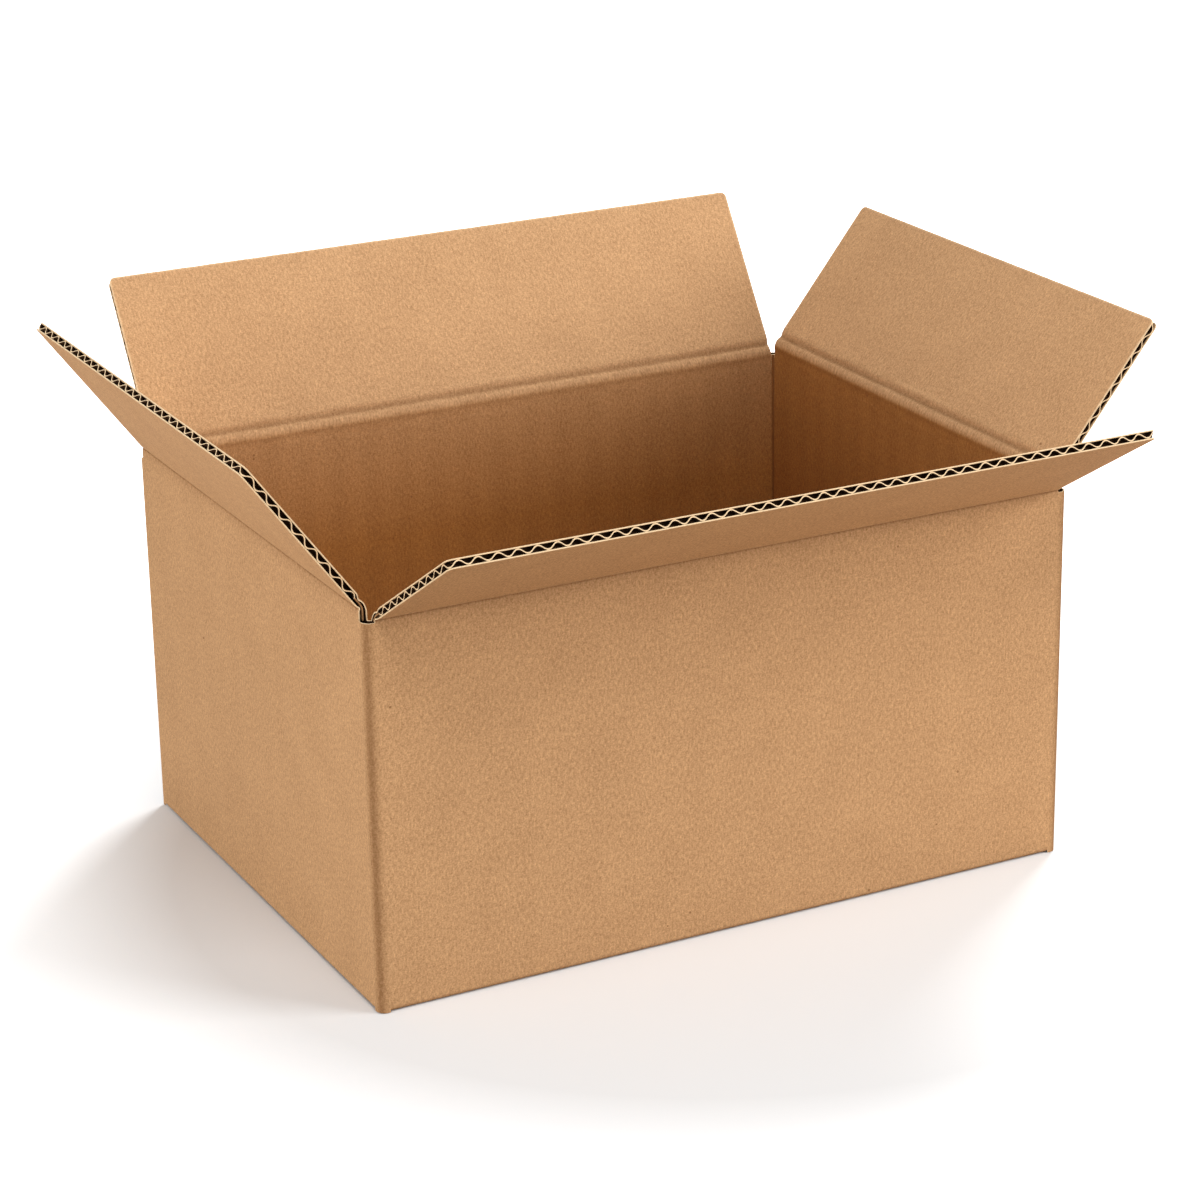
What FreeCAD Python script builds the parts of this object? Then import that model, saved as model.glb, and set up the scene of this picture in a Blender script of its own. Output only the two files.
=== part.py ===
"""An open cardboard box, folded from one sheet of single-wall corrugated board.

Frame: X along the long sides, Y along the short sides, Z up, in millimetres.
The origin is the middle of the bottom, on the surface the box stands on.
The four walls, the glue tab and the closed bottom flaps are one folded solid.
Each top flap is a solid of its own, because it turns about its crease.
"""
import FreeCAD, Part
import math
import os

Vec = FreeCAD.Vector

# Inside of the box, wall to wall and floor to closed long flaps
inner_length = 305.0
inner_width = 229.0
inner_height = 150.0

# The board: two flat liners and a fluted medium between them
board = 3.6
liner = 0.4
medium = 0.35
flute_pitch = 7.8

# The top flaps, as deep as the straight cut edge of the blank leaves them
long_flap_depth = 77.5
flap_corner_radius = 2.5

# How far each top flap leans out from upright, in degrees
front_lean_angle = 58.6
back_lean_angle = 32.8
left_lean_angle = 36.4
right_lean_angle = 38.8

# Slots between neighbouring flaps, measured from the outside of the corner
wall_slot = 4.6
flap_end_gap = 0.5
slot_below_crease = 1.0

# Creases: the scored board is open to the inside, and clear of the flap when it folds shut
crease_clearance = 0.3
crease_land = 0.15
crushed_band = 3.0

# Bottom folds
long_fold_radius = 2.4
short_fold_radius = 1.6
short_fold_lift = 0.3
bottom_seam_gap = 1.0
bottom_seam_shift = 0.9

# The glue tab inside the left wall at the back corner
tab_width = 34.0
tab_end_drop = 3.5
tab_taper = 12.0
tab_fold_radius = 2.6
raw_end_gap = 0.2

# Half widths of a flute's hollow at the liner, below its rounding and at its root,
# as shares of the pitch, and how high the rounding is, as a share of the hollow
void_mouth_share = 0.36
void_shoulder_share = 0.115
void_root_share = 0.045
void_rounding_share = 0.15

outer_length = inner_length + 2 * board
outer_width = inner_width + 2 * board
half_length = outer_length / 2
half_width = outer_width / 2
floor_top = 2 * board

# The long flaps fold shut first and the short ones lie over them,
# so the short creases are one board and a clearance higher
long_crease = floor_top + inner_height + board
short_crease = long_crease + board + crease_clearance
short_flap_depth = long_flap_depth - (short_crease - long_crease)
bevel = board + crease_clearance
slot_bottom = long_crease - slot_below_crease
flap_slot = wall_slot + flap_end_gap
tab_low = floor_top + tab_end_drop
tab_high = slot_bottom - tab_end_drop


def prism(points, start, end, frame):
    """A flat outline in a wall's section, drawn out along the wall.

    Points are (depth from the outer face, height). A third value bulges the edge
    that ends there into an arc of that radius about a given centre.
    """
    place, along = frame
    edges = []
    last = points[-1][:2]
    for point in points:
        here = point[:2]
        if len(point) == 3:
            centre, radius = point[2]
            middle = arc_middle(last, here, centre, radius)
            edges.append(Part.Arc(place(*last), place(*middle), place(*here)).toShape())
        else:
            edges.append(Part.LineSegment(place(*last), place(*here)).toShape())
        last = here
    face = Part.Face(Part.Wire(edges))
    face.translate(along * start)
    return face.extrude(along * (end - start))


def arc_middle(first, second, centre, radius):
    """The point halfway along the short arc between two points."""
    across = (first[0] + second[0]) / 2 - centre[0]
    up = (first[1] + second[1]) / 2 - centre[1]
    reach = math.hypot(across, up)
    return centre[0] + across * radius / reach, centre[1] + up * radius / reach


def wall_frame(outward, half_span):
    """Places a section's points on a wall, and gives the direction along it."""
    out = Vec(*outward)
    along = Vec(0, 0, 1).cross(out)

    def place(depth, height):
        return out * (half_span - depth) + Vec(0, 0, height)

    return place, along


def long_wall(outward):
    """A long wall between its slots, with the outer bottom flap folded under it."""
    to_seam = half_width - bottom_seam_gap / 2 - outward[1] * bottom_seam_shift
    fold = long_fold_radius
    section = [
        (0, long_crease - crease_land),
        (board, long_crease - bevel),
        (board, board),
        (to_seam, board),
        (to_seam, 0),
        (fold, 0),
        (0, fold, ((fold, fold), fold)),
    ]
    reach = half_length - wall_slot
    return prism(section, -reach, reach, wall_frame(outward, half_width))


def short_wall(outward):
    """A short wall between its slots, with the inner bottom flap above the outer ones."""
    to_end = half_width - bottom_seam_gap
    fold = short_fold_radius
    low = short_fold_lift
    section = [
        (0, short_crease - crease_land),
        (board, short_crease - bevel),
        (board, floor_top),
        (to_end, floor_top),
        (to_end, board),
        (board, board),
        (board, low),
        (fold, low),
        (0, low + fold, ((fold, low + fold), fold)),
    ]
    reach = half_width - wall_slot
    return prism(section, -reach, reach, wall_frame(outward, half_length))


def corner_post(side_x, side_y):
    """The folded upright corner between two slots, rounded outside and sharp inside."""
    corner = Vec(side_x * half_length, side_y * half_width, 0)

    def at(depth_x, depth_y):
        return corner - Vec(side_x * depth_x, side_y * depth_y, 0)

    turn = board * (1 - math.sqrt(0.5))
    edges = [
        Part.LineSegment(at(wall_slot, 0), at(board, 0)).toShape(),
        Part.Arc(at(board, 0), at(turn, turn), at(0, board)).toShape(),
        Part.LineSegment(at(0, board), at(0, wall_slot)).toShape(),
        Part.LineSegment(at(0, wall_slot), at(board, wall_slot)).toShape(),
        Part.LineSegment(at(board, wall_slot), at(board, board)).toShape(),
        Part.LineSegment(at(board, board), at(wall_slot, board)).toShape(),
        Part.LineSegment(at(wall_slot, board), at(wall_slot, 0)).toShape(),
    ]
    return Part.Face(Part.Wire(edges)).extrude(Vec(0, 0, slot_bottom))


def raw_end():
    """The left wall's end at the maker's joint, cut square and not folded."""
    start = half_width - wall_slot
    end = half_width - tab_fold_radius - raw_end_gap
    return Part.makeBox(board, end - start, slot_bottom, Vec(-half_length, start, 0))


def tab_turn():
    """The corners in plan of the back wall's turn into the tab: where its rounding
    starts, its middle, and where it ends."""
    radius = tab_fold_radius
    centre = Vec(board + radius - half_length, half_width - radius, 0)
    turn = radius * math.sqrt(0.5)
    return centre + Vec(-radius, 0, 0), centre + Vec(-turn, turn, 0), centre + Vec(0, radius, 0)


def tab_fold():
    """The fold between the back wall and the tab, behind the left wall's raw end."""
    start, middle, end = tab_turn()
    root = half_width - board
    corners = [end, Vec(end.x, root, 0), Vec(start.x, root, 0), start]
    edges = [Part.LineSegment(a, b).toShape() for a, b in zip(corners, corners[1:])]
    edges.append(Part.Arc(start, middle, end).toShape())
    face = Part.Face(Part.Wire(edges))
    face.translate(Vec(0, 0, tab_low))
    return face.extrude(Vec(0, 0, tab_high - tab_low))


def tab_rounding():
    """What the fold's rounding takes off the back wall's end."""
    start, middle, end = tab_turn()
    clear = board
    corners = [
        end,
        end + Vec(0, clear, 0),
        Vec(start.x - clear, end.y + clear, 0),
        start + Vec(-clear, 0, 0),
        start,
    ]
    edges = [Part.LineSegment(a, b).toShape() for a, b in zip(corners, corners[1:])]
    edges.append(Part.Arc(start, middle, end).toShape())
    return Part.Face(Part.Wire(edges)).extrude(Vec(0, 0, slot_bottom))


def glue_tab():
    """The tab at the end of the back wall, glued flat inside the left wall."""
    root = half_width - board
    tip = root - tab_width
    side = board - half_length
    outline = [
        Vec(side, root, tab_low),
        Vec(side, tip, tab_low + tab_taper),
        Vec(side, tip, tab_high - tab_taper),
        Vec(side, root, tab_high),
    ]
    face = Part.Face(Part.makePolygon(outline + outline[:1]))
    return face.extrude(Vec(board, 0, 0))


def void_outline(middle, pitch, mouth, root):
    """One flute's hollow in the board's section: wide at one liner, round at the other."""
    shoulder = root + (mouth - root) * void_rounding_share
    right_side = [
        (void_mouth_share, mouth),
        (void_shoulder_share, shoulder),
        (void_root_share, root),
    ]
    right = [Vec(middle + share * pitch, 0, height) for share, height in right_side]
    left = [Vec(middle - share * pitch, 0, height) for share, height in reversed(right_side)]
    return Part.Face(Part.makePolygon(right + left + right[:1]))


def flutes(span, depth):
    """All the hollows of a flap, open at its outer edge and closed near the crease.

    The waves fill the span, and the cut at each side edge opens the last hollow.
    """
    start = bevel + crushed_band
    count = round(span / flute_pitch)
    pitch = span / count
    inner_skin = board - liner
    outlines = []
    for wave in range(count + 1):
        crest = wave * pitch - span / 2
        outlines.append(void_outline(crest, pitch, inner_skin, liner + medium))
        if wave < count:
            trough = crest + pitch / 2
            outlines.append(void_outline(trough, pitch, liner, inner_skin - medium))
    voids = []
    for outline in outlines:
        outline.translate(Vec(0, start, 0))
        voids.append(outline.extrude(Vec(0, depth - start + board, 0)))
    return Part.makeCompound(voids)


def flat_flap(wall_span, depth):
    """A top flap lying flat: X along the crease, Y out to the cut edge, Z into the box."""
    span = wall_span - 2 * flap_slot
    half = span / 2
    radius = flap_corner_radius
    turn = radius * (1 - math.sqrt(0.5))
    corners = [
        Vec(-half, depth - radius, 0),
        Vec(-half, crease_land, 0),
        Vec(half, crease_land, 0),
        Vec(half, depth - radius, 0),
        Vec(half - turn, depth - turn, 0),
        Vec(half - radius, depth, 0),
        Vec(radius - half, depth, 0),
        Vec(turn - half, depth - turn, 0),
    ]
    edges = [Part.LineSegment(a, b).toShape() for a, b in zip(corners[:4], corners[1:4])]
    edges.append(Part.Arc(*corners[3:6]).toShape())
    edges.append(Part.LineSegment(corners[5], corners[6]).toShape())
    edges.append(Part.Arc(corners[6], corners[7], corners[0]).toShape())
    sheet = Part.Face(Part.Wire(edges)).extrude(Vec(0, 0, board))
    wedge = Part.makePolygon([
        Vec(-span, crease_land, 0),
        Vec(-span, bevel, board),
        Vec(-span, crease_land, board),
        Vec(-span, crease_land, 0),
    ])
    sheet = sheet.cut(Part.Face(wedge).extrude(Vec(2 * span, 0, 0)))
    return sheet.cut(flutes(span, depth))


def top_flap(outward, half_span, wall_span, crease, depth, lean):
    """A top flap set on its crease and leaned out from upright."""
    out = Vec(*outward)
    up = Vec(0, 0, 1)
    turned = FreeCAD.Rotation(up.cross(out), lean)
    stood = FreeCAD.Rotation(out.cross(up), up, -out, "YZX")
    place = FreeCAD.Placement(out * half_span + up * crease, turned.multiply(stood))
    flap = flat_flap(wall_span, depth)
    return flap.transformed(place.toMatrix(), copy=True)


def folded_sheet():
    """The box below its top flaps, as the one sheet it is folded from."""
    pieces = [
        long_wall((0, -1, 0)),
        long_wall((0, 1, 0)).cut(tab_rounding()),
        short_wall((-1, 0, 0)),
        short_wall((1, 0, 0)),
        corner_post(-1, -1),
        corner_post(1, -1),
        corner_post(1, 1),
        raw_end(),
        tab_fold(),
        glue_tab(),
    ]
    return pieces[0].fuse(pieces[1:]).removeSplitter()


parts = {
    "box_body": folded_sheet(),
    "front_flap": top_flap((0, -1, 0), half_width, outer_length, long_crease,
                           long_flap_depth, front_lean_angle),
    "back_flap": top_flap((0, 1, 0), half_width, outer_length, long_crease,
                          long_flap_depth, back_lean_angle),
    "left_flap": top_flap((-1, 0, 0), half_length, outer_width, short_crease,
                          short_flap_depth, left_lean_angle),
    "right_flap": top_flap((1, 0, 0), half_length, outer_width, short_crease,
                           short_flap_depth, right_lean_angle),
}

os.makedirs("parts", exist_ok=True)
for name, shape in parts.items():
    box = shape.BoundBox
    print(name, shape.ShapeType, "solids", len(shape.Solids), "valid", shape.isValid(),
          "volume", round(shape.Volume), "x", round(box.XMin, 2), round(box.XMax, 2),
          "y", round(box.YMin, 2), round(box.YMax, 2), "z", round(box.ZMin, 2), round(box.ZMax, 2))
    shape.exportStep("parts/" + name + ".step")
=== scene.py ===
"""The looks of an open cardboard box: board sections, folds and kraft paper, as an add-on.

Every sheet is modelled flat, in millimetres: x runs along a crease, y up the sheet and
z through the board from its outer face. It is then folded to its place on the box.
"""
import math

import bmesh
import bpy
from mathutils import Matrix, Vector, noise


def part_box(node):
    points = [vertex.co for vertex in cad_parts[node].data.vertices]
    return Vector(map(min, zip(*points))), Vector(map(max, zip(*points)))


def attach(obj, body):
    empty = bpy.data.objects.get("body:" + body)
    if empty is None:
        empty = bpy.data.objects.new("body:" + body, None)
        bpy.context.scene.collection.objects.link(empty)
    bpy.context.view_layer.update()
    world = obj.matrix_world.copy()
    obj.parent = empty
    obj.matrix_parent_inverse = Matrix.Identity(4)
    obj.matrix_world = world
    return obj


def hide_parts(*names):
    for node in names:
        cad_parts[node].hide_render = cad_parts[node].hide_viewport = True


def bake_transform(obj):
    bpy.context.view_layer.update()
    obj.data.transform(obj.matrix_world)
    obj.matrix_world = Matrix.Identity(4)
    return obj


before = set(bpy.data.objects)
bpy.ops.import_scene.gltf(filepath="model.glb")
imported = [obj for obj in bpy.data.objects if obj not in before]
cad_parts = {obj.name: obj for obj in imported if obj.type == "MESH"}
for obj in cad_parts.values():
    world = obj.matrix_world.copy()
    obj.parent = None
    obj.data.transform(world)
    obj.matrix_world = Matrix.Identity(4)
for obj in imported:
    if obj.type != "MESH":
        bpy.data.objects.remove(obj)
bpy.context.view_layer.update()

bl_info = {
    "name": "Open cardboard box",
    "version": (1, 0, 0),
    "blender": (4, 5, 0),
    "location": "3D View > Sidebar > Box",
    "description": "Builds the paper, folds and cut edges of an open corrugated box",
    "category": "Add Mesh",
}

MM = 0.001
UP = Vector((0, 0, 1))
body_low, body_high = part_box("box_body")
HALF_LENGTH = body_high.x / MM
HALF_WIDTH = body_high.y / MM

# The short flaps fold last, so their creases lie higher (all of these in millimetres)
LONG_CREASE, LONG_DEPTH = 160.8, 77.5
SHORT_CREASE, SHORT_DEPTH = 164.7, 73.6
# The height from which the painted shade inside the box deepens, and how far down it takes to
# do so
WALL_TOP = 161
PAINTED_SHADE_DEPTH = 60
# The glue tab: its width, its fold, its lower end and inner liner's top, and how it narrows
TAB_WIDTH = 34
TAB_FOLD = 2.6
TAB_FOOT, TAB_TOP = 2.5, 156.3
TAB_NOTCH, TAB_TAPER = 8, 12
WALL_MIDDLE = 80
# How far the left wall's raw end stays from the back corner
RAW_END_GAP = 2.8
# The folds of the outer liners under the box, and how far the short sides' run in there
LONG_FOLD, SHORT_FOLD = 2.4, 1.6
SHORT_LIFT, SHORT_TUCK = 0.3, 4.5
# The seam between the long bottom flaps: its width, and its place behind the box's middle
SEAM, SEAM_SHIFT = 1.0, 0.9
# How far the short bottom flaps reach in from their walls
SHORT_BOTTOM = HALF_WIDTH - 1
# How much wider than the board is thick the inner liner turns a corner
INNER_FOLD = 0.5
# How far the medium stands in from a cut edge, and how far from a crease its waves start
FLUTE_INSET = 0.15
FLUTE_START = 3.9
# Half the height over which each liner bends at a crease
OUTER_BEND, INNER_BEND = 0.7, 1.5
# The part of a wall next to its crease that has closer rows
CREASE_ZONE = 8
# The longest stretch of a cut edge between two points, and the largest pale face beside it
EDGE_STEP = 2.6
LIP_AREA = 20


class BoardSizes(bpy.types.PropertyGroup):
    """Sizes of the corrugated board and of its folds, in millimetres."""
    board: bpy.props.FloatProperty(
        name="Board", description="Thickness of the board, in mm", default=3.6, min=1)
    liner: bpy.props.FloatProperty(
        name="Liner", description="Thickness of each flat liner, in mm", default=0.5, min=0.1)
    medium: bpy.props.FloatProperty(
        name="Medium", description="Thickness of the fluted medium, in mm",
        default=0.55, min=0.1)
    flute_pitch: bpy.props.FloatProperty(
        name="Flute pitch", description="Length of one wave of the medium, in mm",
        default=7.8, min=2)
    flute_depth: bpy.props.FloatProperty(
        name="Flute depth", description="How far the modelled waves reach in, in mm",
        default=5, min=1)
    # Where a dark block of painted shade closes a flap's hollows
    shade_depth: bpy.props.FloatProperty(
        name="Shade depth", description="Where the hollows are closed in shadow, in mm",
        default=2.6, min=1)
    corner_radius: bpy.props.FloatProperty(
        name="Corner radius", description="Rounding of the flaps' corners, in mm",
        default=2.5, min=0)
    edge_wobble: bpy.props.FloatProperty(
        name="Edge wobble", description="Unevenness of the cut edges, in mm",
        default=0.16, min=0)
    worn_edge: bpy.props.FloatProperty(
        name="Worn edge", description="Width of the paler paper along a cut, in mm",
        default=0.9, min=0)
    outer_crease: bpy.props.FloatProperty(
        name="Outer crease", description="Half width of the fold in the outer liner, in mm",
        default=1.6)
    inner_crease: bpy.props.FloatProperty(
        name="Inner crease", description="Half width of the crushed inner liner, in mm",
        default=7)
    valley: bpy.props.FloatProperty(
        name="Valley", description="Depth of the score beside the inner ridge, in mm",
        default=1.05)
    wall_slot: bpy.props.FloatProperty(
        name="Wall slot", description="Slot's half width at the wall, from the corner, in mm",
        default=4.6)
    flap_slot: bpy.props.FloatProperty(
        name="Flap slot", description="Flap's end, from the corner, in mm", default=5.1)
    slot_bottom: bpy.props.FloatProperty(
        name="Slot bottom", description="Height of the slots' lower end, in mm", default=159.8)


class KraftColours(bpy.types.PropertyGroup):
    """Colours of the paper, and of the painted shade inside the box and in its hollows."""
    kraft: bpy.props.FloatVectorProperty(
        name="Kraft", description="Face of the liners", subtype="COLOR", size=3,
        default=(0.52, 0.30, 0.145))
    # Painted shade: the darker, redder colour that the kraft is given low down inside the box,
    # where less light falls
    inside: bpy.props.FloatVectorProperty(
        name="Inside", description="Liner low down inside the box", subtype="COLOR", size=3,
        default=(0.32, 0.128, 0.028))
    cut: bpy.props.FloatVectorProperty(
        name="Cut edge", description="Freshly cut edge of the paper", subtype="COLOR", size=3,
        default=(0.84, 0.62, 0.38))
    # Painted shade: the near-black of the hollows between the liners
    hollow_shade: bpy.props.FloatVectorProperty(
        name="Hollow", description="Paper in the shade between the liners", subtype="COLOR",
        size=3, default=(0.035, 0.016, 0.007))
    fleck: bpy.props.FloatVectorProperty(
        name="Fleck", description="Sparse dark flecks in the paper", subtype="COLOR", size=3,
        default=(0.20, 0.085, 0.03))


class StudioSettings(bpy.types.PropertyGroup):
    """Camera and light."""
    azimuth: bpy.props.FloatProperty(
        name="Azimuth", description="Camera's turn round the box", subtype="ANGLE",
        default=math.radians(-27.04))
    elevation: bpy.props.FloatProperty(
        name="Elevation", description="Camera's height over the horizon", subtype="ANGLE",
        default=math.radians(20.16))
    roll: bpy.props.FloatProperty(
        name="Roll", description="Camera's roll", subtype="ANGLE", default=math.radians(-1.0))
    distance: bpy.props.FloatProperty(
        name="Distance", description="Camera to target", unit="LENGTH", default=1.47784)
    target: bpy.props.FloatVectorProperty(
        name="Target", description="Point the camera looks at", subtype="XYZ", unit="LENGTH",
        size=3, default=(0.00206, 0, 0.10314))
    lens: bpy.props.FloatProperty(
        name="Lens", description="Focal length on a 36 mm sensor, in mm", default=105.25)
    level: bpy.props.FloatProperty(
        name="Light level", description="Common factor of all lamps", default=1.0, min=0)
    floor: bpy.props.FloatVectorProperty(
        name="Floor", description="Floor paper", subtype="COLOR", size=3,
        default=(0.83, 0.845, 0.855))


# Each wall: its outward direction, half the box across and along it, its flap's crease, lean
# and depth, its place on the paper's map in metres, and how strong the painted shade is at the
# top of its inside
WALLS = {
    "front": dict(out=Vector((0, -1, 0)), half=HALF_WIDTH, span=HALF_LENGTH,
                  crease=LONG_CREASE, lean=58.6, depth=LONG_DEPTH, start=0.0, tone=0.55),
    # The right wall's inside gets more painted shade, as less light falls on it
    "right": dict(out=Vector((1, 0, 0)), half=HALF_LENGTH, span=HALF_WIDTH,
                  crease=SHORT_CREASE, lean=38.8, depth=SHORT_DEPTH, start=0.4, tone=0.95),
    "back": dict(out=Vector((0, 1, 0)), half=HALF_WIDTH, span=HALF_LENGTH,
                 crease=LONG_CREASE, lean=32.8, depth=LONG_DEPTH, start=0.8, tone=0.5),
    "left": dict(out=Vector((-1, 0, 0)), half=HALF_LENGTH, span=HALF_WIDTH,
                 crease=SHORT_CREASE, lean=36.4, depth=SHORT_DEPTH, start=1.2, tone=0.55),
}
# The material slots: the liner's face, the cut edge and the painted shade between the liners
PAPER, CUT, PAINTED_SHADE = 0, 1, 2


def smooth(share):
    """A soft step from 0 to 1."""
    share = max(0.0, min(1.0, share))
    return share * share * (3 - 2 * share)


def on_wall(wall):
    """Places flat points on an upright wall."""
    along = wall["out"].cross(UP)

    def place(x, y, z):
        return wall["out"] * (wall["half"] - z) + along * x + UP * y

    return place


def on_flap(wall):
    """Places flat points on a leaning top flap; y is measured from its crease."""
    out, along = wall["out"], wall["out"].cross(UP)
    lean = math.radians(wall["lean"])
    rise = UP * math.cos(lean) + out * math.sin(lean)
    inward = UP * math.sin(lean) - out * math.cos(lean)
    pivot = out * wall["half"] + UP * wall["crease"]

    def place(x, y, z):
        return pivot + along * x + rise * y + inward * z

    return place


def on_crease(wall, half_width, gap_end):
    """Places flat points on a fold between a wall and its flap; y is 0 at the crease."""
    wall_place, flap_place = on_wall(wall), on_flap(wall)

    def place(x, y, z):
        share = smooth((y + half_width) / (2 * half_width))
        x = x * (1 - share * gap_end / wall["span"])
        return wall_place(x, y + wall["crease"], z).lerp(flap_place(x, y, z), share)

    return place


def on_fold_under(wall, turn, low):
    """Places flat points on a wall whose lower end is folded in under the box."""
    along = wall["out"].cross(UP)

    def place(x, y, z):
        angle = (low + turn - y) / turn
        reach = turn - z
        if angle <= 0:
            depth, height = z, y
        elif angle <= math.pi / 2:
            depth = turn - reach * math.cos(angle)
            height = low + turn - reach * math.sin(angle)
        else:
            depth = turn + (angle - math.pi / 2) * turn
            height = low + z
        return wall["out"] * (wall["half"] - depth) + along * x + UP * height

    return place


def tip_of_fold(turn, low, depth):
    """The flat y at which a folded-under sheet reaches a depth from the outer face."""
    return low + turn - math.pi / 2 * turn - (depth - turn)


def on_corner(corner, turn, leg):
    """Places flat points round an upright corner: x from the long wall to the short one."""
    side_x, side_y = math.copysign(1, corner[0]), math.copysign(1, corner[1])
    arc = turn * math.pi / 2

    def place(x, y, z):
        reach = turn - z
        if x < leg:
            inset_x, inset_y = turn + leg - x, z
        elif x < leg + arc:
            angle = (x - leg) / turn
            inset_x = turn - reach * math.sin(angle)
            inset_y = turn - reach * math.cos(angle)
        else:
            inset_x, inset_y = z, turn + x - leg - arc
        return Vector((corner[0] - side_x * inset_x, corner[1] - side_y * inset_y, y))

    return place


def on_bottom(wall, height):
    """Places flat points on a bottom flap that lies at a height; y runs in from the wall."""
    along = wall["out"].cross(UP)

    def place(x, y, z):
        return wall["out"] * (wall["half"] - y) + along * x + UP * (height + z)

    return place


def grid_sheet(columns, rows, low, high):
    """A flat closed sheet between two depths, with vertices on the given columns and rows."""
    bm = bmesh.new()
    bmesh.ops.create_grid(bm, x_segments=len(columns) - 1, y_segments=len(rows) - 1, size=0.5)
    for vert in bm.verts:
        column = round((vert.co.x + 0.5) * (len(columns) - 1))
        row = round((vert.co.y + 0.5) * (len(rows) - 1))
        vert.co = Vector((columns[column], rows[row], low))
    grown = bmesh.ops.extrude_face_region(bm, geom=bm.faces[:], use_keep_orig=True)
    upper = [item for item in grown["geom"] if isinstance(item, bmesh.types.BMVert)]
    bmesh.ops.translate(bm, vec=(0, 0, high - low), verts=upper)
    bmesh.ops.recalc_face_normals(bm, faces=bm.faces[:])
    return bm


def spread(start, end, count):
    """Evenly spread values, both ends included."""
    return [start + (end - start) * step / count for step in range(count + 1)]


def cut_sheet(half_span, start, depth, low, high, radius, wobble, rim, seed):
    """A flap's liner: cut on three sides, with rounded corners and a slightly uneven edge."""
    bm = bmesh.new()
    bmesh.ops.create_grid(bm, x_segments=1, y_segments=1, size=0.5)
    bmesh.ops.scale(bm, vec=(2 * half_span, depth - start, 1), verts=bm.verts)
    bmesh.ops.translate(bm, vec=(0, (depth + start) / 2, low), verts=bm.verts)
    tips = [vert for vert in bm.verts if vert.co.y > (depth + start) / 2]
    bmesh.ops.bevel(bm, geom=tips, offset=radius, offset_type="OFFSET", segments=5,
                    profile=0.5, affect="VERTICES", material=-1)
    for edge in bm.edges[:]:
        pieces = int(edge.calc_length() / EDGE_STEP)
        if pieces > 1:
            bmesh.ops.bisect_edges(bm, edges=[edge], cuts=pieces - 1)
    for vert in bm.verts:
        if vert.co.y < start + 0.5:
            continue
        sway = noise.noise(Vector((vert.co.x * 0.11, vert.co.y * 0.11, seed)))
        sway = -abs(sway) * wobble
        inward = Vector((0, 0, 0))
        if half_span - abs(vert.co.x) < radius:
            inward.x = math.copysign(1, vert.co.x)
        if depth - vert.co.y < radius:
            inward.y = 1
        vert.co += inward * sway
    bmesh.ops.inset_region(bm, faces=bm.faces[:], thickness=rim, use_even_offset=True,
                           use_boundary=True)
    grown = bmesh.ops.extrude_face_region(bm, geom=bm.faces[:], use_keep_orig=True)
    upper = [item for item in grown["geom"] if isinstance(item, bmesh.types.BMVert)]
    bmesh.ops.translate(bm, vec=(0, 0, high - low), verts=upper)
    bmesh.ops.recalc_face_normals(bm, faces=bm.faces[:])
    return bm


def edge_path(half_span, start, depth, radius):
    """A walk round a flap's three cut sides: length, and a function giving each point
    of the walk with the direction out of the board there."""
    side = depth - radius - start
    tip = 2 * (half_span - radius)
    turn = radius * math.pi / 2
    stops = [side, side + turn, side + turn + tip, side + 2 * turn + tip]

    def at(walked):
        if walked <= stops[0]:
            return Vector((-half_span, start + walked, 0)), Vector((-1, 0, 0))
        if walked <= stops[1]:
            angle = (walked - stops[0]) / radius
            out = Vector((-math.cos(angle), math.sin(angle), 0))
            return Vector((radius - half_span, depth - radius, 0)) + out * radius, out
        if walked <= stops[2]:
            along = radius - half_span + walked - stops[1]
            return Vector((along, depth, 0)), Vector((0, 1, 0))
        if walked <= stops[3]:
            angle = (walked - stops[2]) / radius
            out = Vector((math.sin(angle), math.cos(angle), 0))
            return Vector((half_span - radius, depth - radius, 0)) + out * radius, out
        return Vector((half_span, depth - radius - (walked - stops[3]), 0)), Vector((1, 0, 0))

    return stops[3] + side, at


def wave_height(phase, sizes):
    """Height of the medium's middle in the board, a wave with rounded peaks."""
    swing = (sizes.board - 2 * sizes.liner - sizes.medium) / 2
    shape = (math.sin(phase) + 0.02 * math.sin(3 * phase)) / 0.98
    return sizes.board / 2 + swing * shape


def pressed(point, sizes):
    """How far the medium is pressed down beside a crease, and its middle's drop."""
    drop = sizes.board - inner_profile(point.y, sizes)
    room = sizes.board - 2 * sizes.liner - sizes.medium
    return max(0.15, 1 - drop / room), drop / 2


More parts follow.
